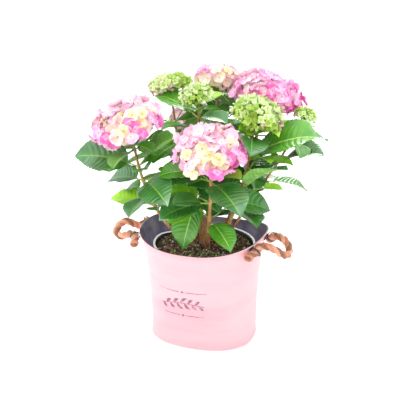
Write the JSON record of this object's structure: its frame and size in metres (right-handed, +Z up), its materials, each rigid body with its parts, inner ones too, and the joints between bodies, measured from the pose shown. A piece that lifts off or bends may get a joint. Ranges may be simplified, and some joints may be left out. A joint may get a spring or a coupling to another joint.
{
  "type": "potted hydrangea",
  "caption": "Mophead hydrangea shrub with pink and lime flower heads in a nursery pot, standing in an oval painted metal pail with rope handles.",
  "frame": {"origin": "middle of the pail's flat underside, where it stands", "axes": "+Z up, X along the pail's long axis from handle to handle, -Y to the front that carries the printed panel"},
  "size_m": [0.4099, 0.3973, 0.4899],
  "materials": {
    "pail_paint": "satin",
    "jute_rope": "rough",
    "eye_wire": "satin",
    "pot_plastic": "satin",
    "potting_soil": "matte",
    "bark": "matte",
    "leaf": "satin",
    "petals_pink": "matte",
    "petals_rose": "matte",
    "petals_lime": "matte"
  },
  "bodies": {
    "root": {"pail": "pail_paint", "rope_handle_left": "jute_rope", "rope_handle_right": "jute_rope", "handle_eye_left_front": "eye_wire", "handle_eye_left_rear": "eye_wire", "handle_eye_right_front": "eye_wire", "handle_eye_right_rear": "eye_wire", "nursery_pot": "pot_plastic", "soil": "potting_soil", "cane_left": "bark", "leaves_left": "leaf", "flower_head_left": "petals_pink", "cane_front": "bark", "leaves_front": "leaf", "flower_head_front": "petals_pink", "cane_right_lime": "bark", "leaves_right_lime": "leaf", "flower_head_right_lime": "petals_lime", "cane_back_right": "bark", "leaves_back_right": "leaf", "flower_head_back_right": "petals_rose", "cane_top_centre": "bark", "leaves_top_centre": "leaf", "flower_head_top_centre": "petals_pink", "cane_mid_lime": "bark", "leaves_mid_lime": "leaf", "flower_head_mid_lime": "petals_lime", "cane_back_left": "bark", "leaves_back_left": "leaf", "flower_head_back_left": "petals_lime", "cane_far_right": "bark", "leaves_far_right": "leaf", "flower_head_far_right": "petals_lime", "cane_rear": "bark", "leaves_rear": "leaf", "flower_head_rear": "petals_rose"}
  },
  "joints": []
}
